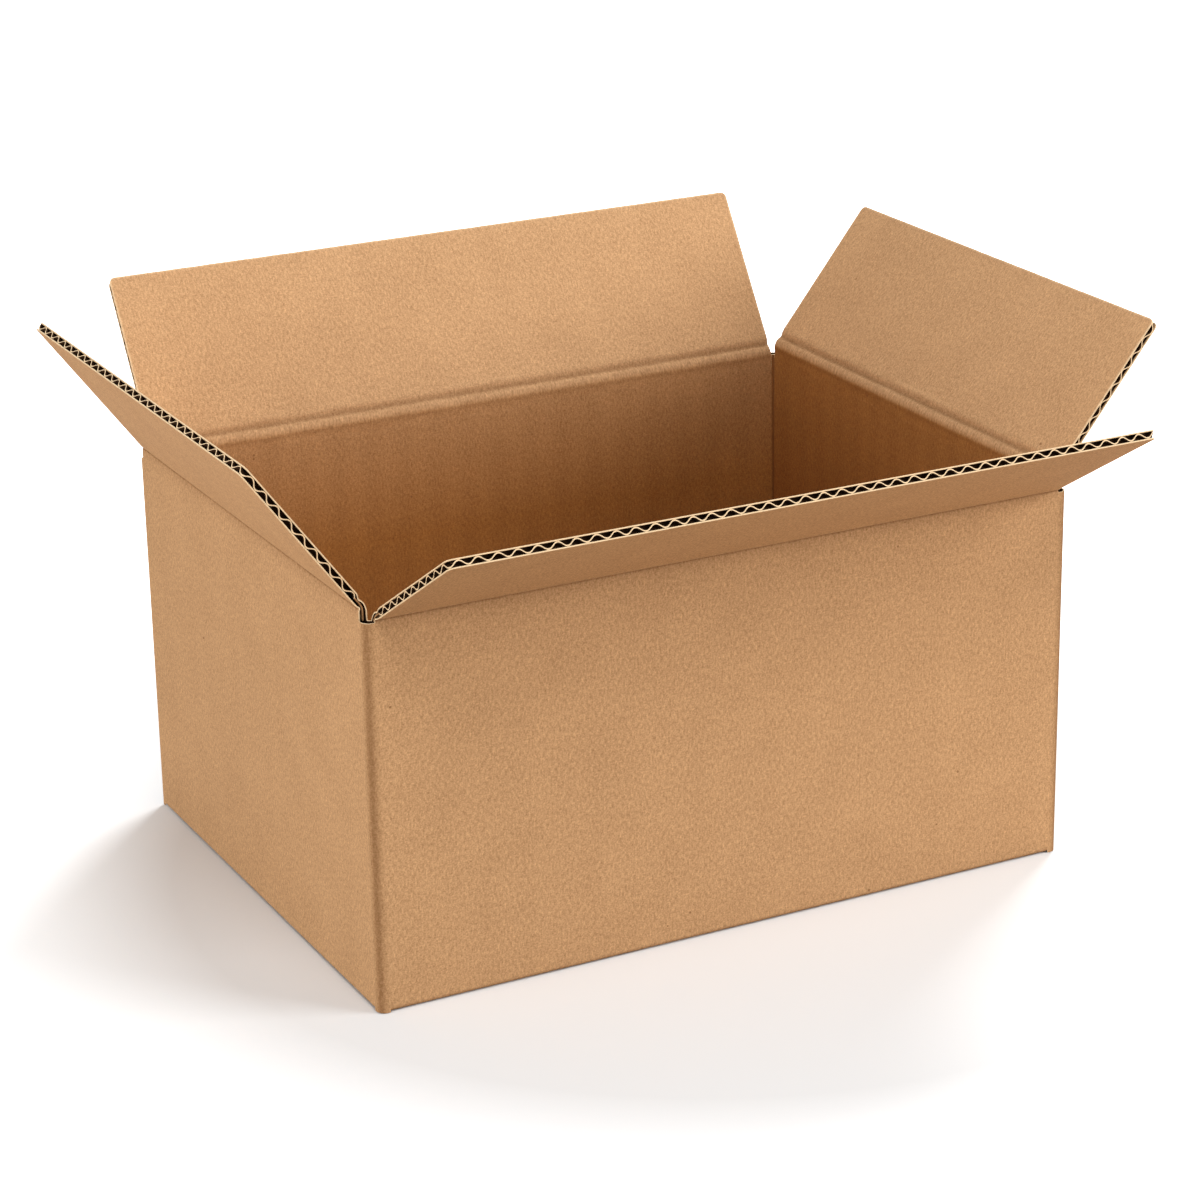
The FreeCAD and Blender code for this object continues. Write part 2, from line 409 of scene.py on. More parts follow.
def wave_ribbon(length, at, sizes, seed, by_crease=False):
    """The fluted medium along a cut edge, as a thin closed ribbon standing on the edge."""
    waves = round(length / sizes.flute_pitch)
    columns = waves * 14
    depths = [0.12, sizes.flute_depth * 0.5, sizes.flute_depth]
    bm = bmesh.new()
    bmesh.ops.create_grid(bm, x_segments=columns, y_segments=len(depths) - 1, size=0.5)
    for vert in bm.verts:
        share = vert.co.x + 0.5
        row = round((vert.co.y + 0.5) * (len(depths) - 1))
        point, out = at(share * length)
        drift = noise.noise(Vector((share * waves * 0.45, seed, 0))) * 0.5
        lift = noise.noise(Vector((share * waves * 0.8, seed, 5))) * 0.06
        height = wave_height(share * waves * 2 * math.pi + drift, sizes)
        middle = sizes.board / 2
        height = middle + (height - middle) * (1 - abs(lift))
        if by_crease:
            squeeze, drop = pressed(point, sizes)
            height = middle + (height - middle) * squeeze - drop
        ragged = noise.noise(Vector((share * waves * 3.1, seed, 9))) * 0.1 if row == 0 else 0
        vert.co = point - out * (depths[row] + ragged)
        vert.co.z = height
    bmesh.ops.solidify(bm, geom=bm.faces[:], thickness=sizes.medium)
    bmesh.ops.translate(bm, vec=(0, 0, sizes.medium / 2), verts=bm.verts)
    bmesh.ops.recalc_face_normals(bm, faces=bm.faces[:])
    return bm


def light_lip(bm):
    """Near a cut, small faces of the liner's side toward the hollows keep the paper rather
    than the painted shade.
    """
    for face in bm.faces:
        if face.material_index == PAINTED_SHADE and face.calc_area() < LIP_AREA:
            face.material_index = PAPER


def mark_faces(bm, inner):
    """Dresses a flat liner: its rims are cut, one side is paper and the side toward the
    hollows takes the painted shade.
    """
    low_face, high_face = (PAINTED_SHADE, PAPER) if inner else (PAPER, PAINTED_SHADE)
    bm.normal_update()
    for face in bm.faces:
        if face.normal.z > 0.5:
            face.material_index = high_face
        elif face.normal.z < -0.5:
            face.material_index = low_face
        else:
            face.material_index = CUT


def mark_wave(bm, length, at):
    """The ribbon's rim is freshly cut paper and the rest of it takes the painted shade of the
    hollows.
    """
    samples = [at(length * step / 400) for step in range(401)]
    bm.normal_update()
    for face in bm.faces:
        centre = face.calc_center_median()
        centre.z = 0
        point, out = min(samples, key=lambda sample: (sample[0] - centre).length_squared)
        rim = (point - centre).dot(out) < 0.4 and abs(face.normal.dot(out)) > 0.6
        face.material_index = CUT if rim else PAINTED_SHADE


def note(bm, name, amount):
    """Writes each vertex's amount into a named layer, worked out from its flat place."""
    layer = bm.verts.layers.float.get(name) or bm.verts.layers.float.new(name)
    for vert in bm.verts:
        vert[layer] = amount(vert.co)


def note_painted_shade(bm, depth):
    """Notes painted shade in a score, a corner or a recess, as a negative amount in the layer
    that also holds the worn edges.
    """
    note(bm, "wear_and_painted_shade", lambda co: -depth(co))


def note_painted_inside_shade(bm, amount):
    """Notes how much painted shade the paper takes inside the box, from 0 outside to 1 well
    inside.
    """
    note(bm, "inside", amount)


def painted_shade_deepening(top, tone):
    """A painted-shade amount inside the box that grows from a given strength at the top to 1
    well below it.
    """
    return lambda co: tone + (1 - tone) * smooth((top - co.y) / PAINTED_SHADE_DEPTH)


def groove(distance, half_width):
    """A soft groove's share of its depth at a distance from its middle."""
    return math.exp(-(distance / half_width) ** 2)


def lay_out(bm, start, inner):
    """Writes the sheet's flat coordinates, in metres, as its map."""
    layer = bm.loops.layers.uv.get("blank") or bm.loops.layers.uv.new("blank")
    for face in bm.faces:
        for loop in face.loops:
            co = loop.vert.co
            across = co.z if abs(face.normal.z) < 0.5 else 0
            loop[layer].uv = (co.x * MM + start, (co.y + across) * MM + (3 if inner else 0))


def fold(bm, place):
    """Folds a flat sheet to its place on the box, and turns its faces outward."""
    for vert in bm.verts:
        vert.co = place(*vert.co) * MM
    bmesh.ops.recalc_face_normals(bm, faces=bm.faces[:])


def join(target, bm):
    """Adds one folded sheet to a piece's mesh."""
    copy = bpy.data.meshes.new("sheet")
    bm.to_mesh(copy)
    target.from_mesh(copy)
    bpy.data.meshes.remove(copy)
    bm.free()


def add_liner(target, sheet, place, start, inner):
    """Finishes a flat liner, folds it to its place and adds it to a piece's mesh."""
    mark_faces(sheet, inner)
    lay_out(sheet, start, inner)
    fold(sheet, place)
    join(target, sheet)


def add_waves(target, ribbon, length, at, place, start):
    """Finishes a ribbon of waves, folds it to its place and adds it to a piece's mesh."""
    mark_wave(ribbon, length, at)
    lay_out(ribbon, start, True)
    fold(ribbon, place)
    join(target, ribbon)


def new_target():
    """An empty mesh with the layers that every sheet carries."""
    bm = bmesh.new()
    bm.loops.layers.uv.new("blank")
    bm.verts.layers.float.new("wear_and_painted_shade")
    bm.verts.layers.float.new("inside")
    return bm


def make_object(name, bm, crisp=40):
    """Makes a piece of the finished mesh, dressed in kraft paper, cut edge and painted shade.
    """
    mesh = bpy.data.meshes.new(name)
    bm.to_mesh(mesh)
    bm.free()
    for polygon in mesh.polygons:
        polygon.use_smooth = True
    mesh.set_sharp_from_angle(angle=math.radians(crisp))
    for material in (kraft_paper(), cut_paper(), painted_shade_paper()):
        mesh.materials.append(material)
    piece = bpy.data.objects.new(name, mesh)
    bpy.context.scene.collection.objects.link(piece)
    return piece


def node(tree, kind, place, **values):
    """Adds a shader node and sets its options and its sockets' plain values."""
    made = tree.nodes.new(kind)
    made.location = place
    for key, value in values.items():
        if key in made.bl_rna.properties:
            setattr(made, key, value)
        else:
            made.inputs[key].default_value = value
    return made


def noise_node(tree, vector, place, scale, detail, roughness=0.55, stretch=None, turn=0):
    """A noise over the sheet's map, stretched where the paper has a direction."""
    if stretch:
        mapped = node(tree, "ShaderNodeMapping", (place[0] - 180, place[1]))
        mapped.inputs["Scale"].default_value = stretch
        mapped.inputs["Rotation"].default_value = (0, 0, turn)
        tree.links.new(vector, mapped.inputs["Vector"])
        vector = mapped.outputs["Vector"]
    made = node(tree, "ShaderNodeTexNoise", place, Scale=scale, Detail=detail,
                Roughness=roughness)
    tree.links.new(vector, made.inputs["Vector"])
    return made.outputs["Fac"]


def ramp(tree, value, place, low, high, low_out, high_out):
    """Stretches a value from one range to another, held at the ends."""
    made = node(tree, "ShaderNodeMapRange", place, clamp=True)
    for key, number in (("From Min", low), ("From Max", high),
                        ("To Min", low_out), ("To Max", high_out)):
        made.inputs[key].default_value = number
    tree.links.new(value, made.inputs["Value"])
    return made.outputs["Result"]


def math_node(tree, operation, place, first, second):
    """Joins two values, or a value and a number."""
    made = node(tree, "ShaderNodeMath", place, operation=operation)
    for socket, value in zip(made.inputs, (first, second)):
        if isinstance(value, (int, float)):
            socket.default_value = value
        else:
            tree.links.new(value, socket)
    return made.outputs["Value"]


def mix_colour(tree, factor, place, first, second):
    """Mixes two colours by a factor."""
    made = node(tree, "ShaderNodeMix", place, data_type="RGBA")
    tree.links.new(factor, made.inputs["Factor"])
    for socket, value in ((made.inputs[6], first), (made.inputs[7], second)):
        if isinstance(value, tuple):
            socket.default_value = value
        else:
            tree.links.new(value, socket)
    return made.outputs[2]


def opaque(colour, factor=1.0):
    """A colour for a socket, darker or paler by a factor."""
    return tuple(value * factor for value in colour) + (1,)


def start_material(name, roughness, specular):
    """A new matte material, with its node tree and its surface shader."""
    material = bpy.data.materials.new(name)
    material.use_nodes = True
    tree = material.node_tree
    shader = tree.nodes["Principled BSDF"]
    shader.inputs["Roughness"].default_value = roughness
    shader.inputs["Specular IOR Level"].default_value = specular
    return material, tree, shader


def relief(tree, shader, height, strength, distance):
    """Raises the surface where a height map is high."""
    bump = node(tree, "ShaderNodeBump", (0, -400), Strength=strength, Distance=distance)
    tree.links.new(height, bump.inputs["Height"])
    tree.links.new(bump.outputs["Normal"], shader.inputs["Normal"])


def kraft_tone(tree, coords, mottle, streaks, ribs, inside_shade_amount, wear_and_painted_shade):
    """How bright the kraft is, about 1 on a plain face and less where painted shade lies in a
    score, corner or recess.
    """
    clouds = noise_node(tree, coords, (-1400, 500), 42, 3)
    grain = noise_node(tree, coords, (-1400, 0), 1500, 3, 0.6)
    tone = ramp(tree, clouds, (-1200, 500), 0.3, 0.7, 0.96, 1.04)
    for step, (pattern, swing) in enumerate(((mottle, 0.27), (grain, 0.27), (streaks, 0.05))):
        row = 250 - 250 * step
        part = ramp(tree, pattern, (-1200, row), 0.25, 0.75, -swing, swing)
        tone = math_node(tree, "ADD", (150 * step - 1000, row), tone, part)
    # The ribs show most inside the box
    ribs = math_node(tree, "MULTIPLY", (-900, -500),
                     ramp(tree, ribs, (-1200, -500), 0, 1, -0.03, 0.03),
                     ramp(tree, inside_shade_amount, (-1200, -650), 0, 1, 0.2, 1))
    tone = math_node(tree, "ADD", (-550, 100), tone, ribs)
    # Painted shade: negative amounts darken the kraft, while positive ones (worn edges) leave
    # it as it is
    return math_node(tree, "MULTIPLY", (-480, 100), tone,
                     ramp(tree, wear_and_painted_shade, (-650, -50), -2, 0, 0.1, 1))


def fleck_mask(tree, coords):
    """Where the sparse dark flecks lie, as small discs of uneven size."""
    flecks = node(tree, "ShaderNodeTexVoronoi", (-1400, -800), feature="F1", Scale=95)
    tree.links.new(coords, flecks.inputs["Vector"])
    split = node(tree, "ShaderNodeSeparateColor", (-1200, -900))
    tree.links.new(flecks.outputs["Color"], split.inputs["Color"])
    size = ramp(tree, split.outputs["Red"], (-1000, -900), 0.5, 1.0, 0.0, 0.06)
    near = math_node(tree, "LESS_THAN", (-800, -800), flecks.outputs["Distance"], size)
    return math_node(tree, "MULTIPLY", (-600, -800), near, 0.7)


def kraft_paper():
    """Brown kraft liner: cloudy fibre, fine streaks along the flutes, faint washboard,
    sparse dark flecks, and paler where an edge is worn; painted shade makes it darker low down
    inside the box and in scores, corners and recesses."""
    if "kraft_paper" in bpy.data.materials:
        return bpy.data.materials["kraft_paper"]
    colours = bpy.context.scene.kraft_colours
    material, tree, shader = start_material("kraft_paper", 0.82, 0.25)
    coords = node(tree, "ShaderNodeUVMap", (-1800, 0), uv_map="blank").outputs["UV"]
    inside_shade_amount, wear_and_painted_shade = (node(tree, "ShaderNodeAttribute", (-900, row), attribute_name=name)
                  .outputs["Fac"] for name, row in (("inside", 700), ("wear_and_painted_shade", -300)))
    mottle = noise_node(tree, coords, (-1400, 250), 620, 4, 0.65, (1.5, 0.8, 1), 0.7)
    streaks = noise_node(tree, coords, (-1400, -250), 1, 3, 0.55, (1500, 170, 1))
    # One rib for every two flutes
    wash = node(tree, "ShaderNodeTexWave", (-1400, -500), bands_direction="X",
                wave_profile="SIN", Scale=20.14, Distortion=0.6)
    wash.inputs["Detail Scale"].default_value = 8
    tree.links.new(coords, wash.inputs["Vector"])
    ribs = wash.outputs["Fac"]
    tone = kraft_tone(tree, coords, mottle, streaks, ribs, inside_shade_amount, wear_and_painted_shade)
    # Painted shade: the kraft turns towards the darker inside colour lower down in the box
    base = mix_colour(tree, inside_shade_amount, (-600, 600), opaque(colours.kraft), opaque(colours.inside))
    # Darker fibre is also redder, and paler fibre less so; paper under painted shade turns
    # darker and redder the same way
    tint = mix_colour(tree, math_node(tree, "SUBTRACT", (-560, 250), tone, 0.5), (-480, 250),
                      (0.5, 0.43, 0.35, 1), (1.5, 1.57, 1.65, 1))
    toned = node(tree, "ShaderNodeVectorMath", (-400, 200), operation="MULTIPLY")
    tree.links.new(base, toned.inputs[0])
    tree.links.new(tint, toned.inputs[1])
    colour = mix_colour(tree, fleck_mask(tree, coords), (-200, 0), toned.outputs["Vector"],
                        opaque(colours.fleck))
    worn = math_node(tree, "MULTIPLY", (-400, -300),
                     ramp(tree, wear_and_painted_shade, (-600, -300), 0, 1, 0, 1),
                     ramp(tree, mottle, (-600, -450), 0.3, 0.7, 0.35, 0.95))
    colour = mix_colour(tree, worn, (0, 0), colour, opaque(colours.cut))
    tree.links.new(colour, shader.inputs["Base Color"])
    height = math_node(tree, "ADD", (-300, -600),
                       math_node(tree, "MULTIPLY", (-500, -600), mottle, 0.6),
                       math_node(tree, "MULTIPLY", (-500, -700), streaks, 0.4))
    height = math_node(tree, "ADD", (-150, -600), height,
                       math_node(tree, "MULTIPLY", (-300, -750), ribs, 0.35))
    relief(tree, shader, height, 0.5, 0.00025)
    return material


def fibrous(tree, shader, scale, detail, roughness, dark, pale):
    """Colours a surface by fine fibre between two shades, and gives back the fibre."""
    coords = node(tree, "ShaderNodeTexCoord", (-900, 0)).outputs["Object"]
    fibre = noise_node(tree, coords, (-700, 0), scale, detail, roughness)
    colour = mix_colour(tree, ramp(tree, fibre, (-500, 0), 0.3, 0.7, 0, 1), (-300, 0),
                        dark, pale)
    tree.links.new(colour, shader.inputs["Base Color"])
    return fibre


def cut_paper():
    """The pale, slightly fibrous edge of cut paper."""
    if "cut_paper" in bpy.data.materials:
        return bpy.data.materials["cut_paper"]
    cut = bpy.context.scene.kraft_colours.cut
    material, tree, shader = start_material("cut_paper", 0.9, 0.2)
    fibre = fibrous(tree, shader, 1100, 3, 0.6, opaque(cut, 0.82), opaque(cut))
    relief(tree, shader, fibre, 0.3, 0.0001)
    return material


def painted_shade_paper():
    """Painted shade for the paper between the liners, where hardly any light reaches."""
    if "painted_shade_paper" in bpy.data.materials:
        return bpy.data.materials["painted_shade_paper"]
    hollow_shade = bpy.context.scene.kraft_colours.hollow_shade
    material, tree, shader = start_material("painted_shade_paper", 0.95, 0.1)
    fibrous(tree, shader, 600, 2, 0.55, opaque(hollow_shade), opaque(hollow_shade, 1.6))
    return material


def medium_strip(target, place, end, rows, sizes):
    """A strip of the medium halfway through the board, seen in an upright cut edge."""
    middle = sizes.board / 2
    columns = sorted(end - math.copysign(inset, end) for inset in (3, FLUTE_INSET))
    strip = grid_sheet(columns, rows, middle - sizes.medium / 2, middle + sizes.medium / 2)
    for face in strip.faces:
        face.material_index = PAPER
    # Painted shade darkens the strip, which lies back between the liners
    note_painted_shade(strip, lambda co: 0.9)
    lay_out(strip, 0, True)
    fold(strip, place)
    join(target, strip)


def fold_rows(turn, low, depth):
    """The rows of a sheet that folds in under the box, from its tip up to the wall."""
    rows = [tip_of_fold(turn, low, depth)]
    rows += [low + turn - turn * math.pi / 2 * step / 6 for step in range(6, -1, -1)]
    return rows


def wall_liners(target, name, sizes):
    """Both liners of one wall, with the liner of its bottom flap where they fold on."""
    wall = WALLS[name]
    long_side = name in ("front", "back")
    tab_side = name == "back"
    crease = wall["crease"]
    reach = wall["span"] - sizes.wall_slot
    left = sizes.board + TAB_FOLD - HALF_LENGTH if tab_side else -reach
    to_seam = wall["half"] - SEAM / 2 - SEAM_SHIFT * wall["out"].y
    if long_side:
        turn, low, depth = LONG_FOLD, 0, to_seam
    else:
        turn, low, depth = SHORT_FOLD, SHORT_LIFT, SHORT_TUCK
    rows = fold_rows(turn, low, depth)
    rows += spread(low + turn, crease - CREASE_ZONE, 5)[1:]
    rows += spread(crease - CREASE_ZONE, crease - sizes.outer_crease, 6)[1:]
    outer = grid_sheet(spread(left, reach, 8), rows, 0, sizes.liner)
    # Painted shadow of the flap on the wall just below its crease
    note_painted_shade(outer, lambda co: 0.3 * groove(crease - co.y, 3.5))
    add_liner(target, outer, on_fold_under(wall, turn, low), wall["start"], False)
    turn = sizes.board + 0.6
    if not long_side:
        low, depth = sizes.board, SHORT_BOTTOM
    rows = fold_rows(turn, low, depth)
    rows += spread(low + turn, crease - sizes.inner_crease, 6)[1:]
    columns = spread(left + 1.5 if tab_side else left, reach, 8)
    inner = grid_sheet(columns, rows, sizes.board - sizes.liner, sizes.board)
    # Painted shade on the wall's inside, growing darker further down
    note_painted_inside_shade(inner, painted_shade_deepening(crease, wall["tone"]))
    add_liner(target, inner, on_fold_under(wall, turn, low), wall["start"], True)


def corner_liners(target, side_x, side_y, sizes, start):
    """Both liners round a folded upright corner, the outer one pressed flat by the score."""
    corner = (side_x * HALF_LENGTH, side_y * HALF_WIDTH)
    inner_low = sizes.board - sizes.liner
    for low, turn, inner in ((0, sizes.board, False),
                             (inner_low, sizes.board + INNER_FOLD, True)):
        leg = sizes.wall_slot - turn
        arc = turn * math.pi / 2
        middle = leg + arc / 2
        columns = [0] + spread(leg, leg + arc, 12) + [2 * leg + arc]
        high = sizes.board if inner else sizes.liner
        sheet = grid_sheet(columns, spread(0, sizes.slot_bottom, 60), low, high)
        if inner:
            # Painted shade on the corner's inside, growing darker further down
            note_painted_inside_shade(sheet, painted_shade_deepening(WALL_TOP, 0.85))
            # Painted shade in the inner corner
            note_painted_shade(sheet, lambda co: 1.7 * groove(co.x - middle, 3))
        else:
            # A band of painted shade down the scored corner
            note_painted_shade(sheet, lambda co: groove(co.x - middle, 2.3))
        add_liner(target, sheet, on_corner(corner, turn, leg), start, inner)


class BOX_OT_walls(bpy.types.Operator):
    """Folds the four walls, their upright corners and the outer bottom flaps."""
    bl_idname = "box.walls"
    bl_label = "Walls"

    def execute(self, context):
        sizes = context.scene.board_sizes
        target = new_target()
        for name in WALLS:
            wall_liners(target, name, sizes)
        corner_liners(target, -1, -1, sizes, 2.0)
        corner_liners(target, 1, -1, sizes, 2.2)
        corner_liners(target, 1, 1, sizes, 2.4)
        walls = make_object("box_walls", target)
        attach(walls, "box")
        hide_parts("box_body")
        return {"FINISHED"}


def raw_end_liner(target, sizes, low, high, inner):
    """One liner of the left wall's raw end, which runs on past the slot to the tab."""
    left = WALLS["left"]
    sheet = grid_sheet(raw_end_columns(sizes), [0, WALL_MIDDLE, sizes.slot_bottom], low, high)
    add_liner(target, sheet, on_wall(left), left["start"], inner)


def raw_end_columns(sizes):
    """Where the raw end starts and stops along the left wall."""
    way = -1 if WALLS["left"]["out"].cross(UP).y < 0 else 1
    return sorted((way * (HALF_WIDTH - sizes.wall_slot), way * (HALF_WIDTH - RAW_END_GAP)))


def tab_liner(target, sizes, low, high, inner):
    """One liner of the tab: folded off the back wall, tapered, flat inside the left wall."""
    turn = sizes.board + INNER_FOLD if inner else TAB_FOLD
    leg = 0.02
    root = leg + turn * math.pi / 2
    tab = TAB_WIDTH + sizes.board - turn
    columns = [0] + spread(leg, root, 8) + spread(root, root + tab, 6)[1:]
    top = TAB_TOP if inner else sizes.slot_bottom
    sheet = grid_sheet(columns, [TAB_FOOT, WALL_MIDDLE, top], low, high)
    for vert in sheet.verts:
        reach = max(0.0, vert.co.x - root)
        taper = TAB_NOTCH * min(1.0, reach / 4) + TAB_TAPER * reach / tab
        if vert.co.y < WALL_MIDDLE:
            vert.co.y += taper
        elif vert.co.y > WALL_MIDDLE:
            vert.co.y -= taper
    # Painted shade on the tab, growing darker further down
    note_painted_inside_shade(sheet, painted_shade_deepening(WALL_TOP, 0.4))
    corner = (sizes.board - HALF_LENGTH, HALF_WIDTH)
    add_liner(target, sheet, on_corner(corner, turn, leg), 2.6, inner)


class BOX_OT_glue_tab(bpy.types.Operator):
    """Adds the maker's joint: the left wall's raw end and the tab glued inside it."""
    bl_idname = "box.glue_tab"
    bl_label = "Glue tab"

    def execute(self, context):
        sizes = context.scene.board_sizes
        target = new_target()
        raw_end = max(raw_end_columns(sizes), key=abs)
        medium_strip(target, on_wall(WALLS["left"]), raw_end,
                     [1, sizes.slot_bottom - 0.3], sizes)
        for low, high, inner in ((0, sizes.liner, False),
                                 (sizes.board - sizes.liner, sizes.board, True)):
            raw_end_liner(target, sizes, low, high, inner)
            tab_liner(target, sizes, low, high, inner)
        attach(make_object("glue_tab", target), "box")
        return {"FINISHED"}


class BOX_OT_bottom(bpy.types.Operator):
    """Adds the board sections of the short bottom flaps, seen from inside."""
    bl_idname = "box.bottom"
    bl_label = "Bottom flaps"

    def execute(self, context):
        sizes = context.scene.board_sizes
        target = new_target()
        for name in ("left", "right"):
            wall = WALLS[name]
            half_span = wall["span"] - sizes.wall_slot
            start = wall["start"] + 3
            place = on_bottom(wall, sizes.board)
            sheet = cut_sheet(half_span, 4.0, SHORT_BOTTOM, 0, sizes.liner, 0.5, 0.1, 0.5, 3)
            # Painted shade at full strength over the whole sheet
            note_painted_inside_shade(sheet, lambda co: 1.0)
            add_liner(target, sheet, place, start, False)
            length, at = edge_path(half_span, 6.0, SHORT_BOTTOM, 1.0)
            ribbon = wave_ribbon(length, at, sizes, 21 + wall["start"])
            add_waves(target, ribbon, length, at, place, start)
        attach(make_object("bottom_flaps", target), "box")
        return {"FINISHED"}


def flap_liner(target, wall, sizes, inner, seed):
    """One liner of a top flap, worn pale at its cut edge. The outer one is a bit smaller."""
    low = sizes.board - sizes.liner if inner else 0
    start = sizes.inner_crease if inner else sizes.outer_crease
    back = 0 if inner else 0.35
    half_span = wall["span"] - sizes.flap_slot - back
    depth = wall["depth"] - back
    sheet = cut_sheet(half_span, start, depth, low, low + sizes.liner, sizes.corner_radius,
                      sizes.edge_wobble, sizes.worn_edge, seed + low)
    # Worn to 1 at the cut edge, and to 0 a little way in
    note(sheet, "wear_and_painted_shade", lambda co: 1 - smooth(
        min(half_span - abs(co.x), depth - co.y) / sizes.worn_edge))
    mark_faces(sheet, inner)
    light_lip(sheet)
    lay_out(sheet, wall["start"], inner)
    fold(sheet, on_flap(wall))
    join(target, sheet)


def flap_shade_core(target, wall, sizes):
    """A dark block of painted shade that closes a top flap's hollows some way in from its
    edge.
    """
    shade = sizes.shade_depth
    core = cut_sheet(wall["span"] - sizes.flap_slot - shade, sizes.inner_crease,
                     wall["depth"] - shade, sizes.liner, sizes.board - sizes.liner,
                     1.0, 0, 0.3, 0)
    for face in core.faces:
        face.material_index = PAINTED_SHADE
    lay_out(core, wall["start"], False)
    fold(core, on_flap(wall))
    join(target, core)


class BOX_OT_flaps(bpy.types.Operator):
    """Makes the four top flaps: two liners, and the waves of the medium at the cut edges."""
    bl_idname = "box.flaps"
    bl_label = "Top flaps"

    def execute(self, context):
        sizes = context.scene.board_sizes
        for number, (name, wall) in enumerate(WALLS.items()):
            target = new_target()
            flap_liner(target, wall, sizes, False, number * 7)
            flap_liner(target, wall, sizes, True, number * 7)
            flap_shade_core(target, wall, sizes)
            flap = make_object(name + "_flap_liners", target)
            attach(flap, name + "_flap")
            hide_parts(name + "_flap")
            half_span = wall["span"] - sizes.flap_slot
            length, at = edge_path(half_span - FLUTE_INSET, FLUTE_START,
                                   wall["depth"] - FLUTE_INSET, sizes.corner_radius)
            target = new_target()
            ribbon = wave_ribbon(length, at, sizes, number * 3.7, True)
            add_waves(target, ribbon, length, at, on_flap(wall), wall["start"])
            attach(make_object(name + "_flap_flutes", target, 60), name + "_flap")
        return {"FINISHED"}


def inner_profile(y, sizes):
    """Height of the inner liner's face over a crease: a ridge, then a shallow valley."""
    if y <= -1:
        return sizes.board
    dip = groove(y - 2.5, 1.5)
    ridge = 0.15 * groove(y + 0.2, 1.0)
    fade = smooth((sizes.inner_crease - y) / 2.5)
    return sizes.board - sizes.valley * dip * fade - ridge


def lay_out_crease(bm, wall, inner):
    """Maps a fold so that the paper's pattern runs on from the wall below it."""
    lay_out(bm, wall["start"], inner)
    layer = bm.loops.layers.uv.get("blank")
    for face in bm.faces:
        for loop in face.loops:
            loop[layer].uv.y += wall["crease"] * MM


def crease_liner(wall, sizes, inner):
    """One liner over a top flap's crease, not yet bent, with the score pressed into it."""
    reach = wall["span"] - sizes.wall_slot
    half = sizes.inner_crease if inner else sizes.outer_crease
    low = sizes.board - sizes.liner if inner else 0
    rows = spread(-half, half, 24 if inner else 16)
    sheet = grid_sheet(spread(-reach, reach, 90), rows, low, low + sizes.liner)
    mark_faces(sheet, inner)
    lay_out_crease(sheet, wall, inner)
    for vert in sheet.verts:
        y = vert.co.y
        edge = 1 - smooth((abs(y) - half + 1.5) / 1.5)
        uneven = noise.noise(Vector((vert.co.x * 0.09, y * 0.2, wall["start"])))
        if inner:
            vert.co.z += inner_profile(y, sizes) - sizes.board
            vert.co.z += uneven * 0.3 * edge
        else:
            vert.co.z += 0.35 * groove(y, 0.5)
            vert.co.z += abs(uneven) * 0.15 * edge
    if inner:
        # Painted shade inside the box, on the wall's side of the crease
        note_painted_inside_shade(sheet, lambda co: wall["tone"] * smooth(-co.y / 1.4))
        # Painted shade in the valley beside the inner ridge, and a little below the ridge
        note_painted_shade(sheet, lambda co: 0.75 * groove(co.y - 2.3, 1.2)
                   + 0.25 * groove(co.y + 1.9, 0.9))
    else:
        # Painted shadow under the flap on the wall below the crease, and a thin painted dark
        # line along the crease
        note_painted_shade(sheet, lambda co: 0.3 * groove(co.y, 3.5) * (co.y < 0)
                   + 0.75 * groove(co.y, 0.45))
    return sheet


def add_crease(name, sizes, inner):
    """Makes one liner of a crease a piece that bends between the wall and the flap."""
    wall = WALLS[name]
    place = on_crease(wall, INNER_BEND if inner else OUTER_BEND,
                      sizes.flap_slot - sizes.wall_slot)
    sheet = crease_liner(wall, sizes, inner)
    fold(sheet, place)
    target = new_target()
    join(target, sheet)
    if not inner:
        reach = wall["span"] - sizes.wall_slot
        rows = spread(sizes.slot_bottom - wall["crease"], FLUTE_START, 9)
        for end in (reach, -reach):
            medium_strip(target, place, end, rows, sizes)
    side = "inside" if inner else "outside"
    crease = make_object(name + "_crease_" + side, target, 75)
    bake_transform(crease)


class BOX_OT_creases(bpy.types.Operator):
    """Makes the folds of the top flaps, bent between each wall and its flap."""
    bl_idname = "box.creases"
    bl_label = "Creases"

    def execute(self, context):
        sizes = context.scene.board_sizes
        for name in WALLS:
            add_crease(name, sizes, False)
            add_crease(name, sizes, True)
        return {"FINISHED"}


class BOX_OT_stage(bpy.types.Operator):
    """Sets up the floor, the soft studio light and the camera."""
    bl_idname = "box.stage"
    bl_label = "Stage"

    def execute(self, context):
        scene = context.scene
        studio = scene.studio_settings
        scene.view_settings.view_transform = "Standard"
        build_floor(studio)
        build_world(scene)
        for lamp in LAMPS:
            add_lamp(scene, studio.level, *lamp)
        build_camera(scene, studio)
        return {"FINISHED"}


# Where the floor keeps its shadow and where a painted glow has turned it white, in metres from
# a middle
SHADOW_MIDDLE = (0.03, -0.04, 0)
SHADOW_NEAR, SHADOW_FAR = 0.225, 0.42
FLOOR_BOUNCE = (0.56, 0.46, 0.37)
WORLD_LIGHT = 0.27


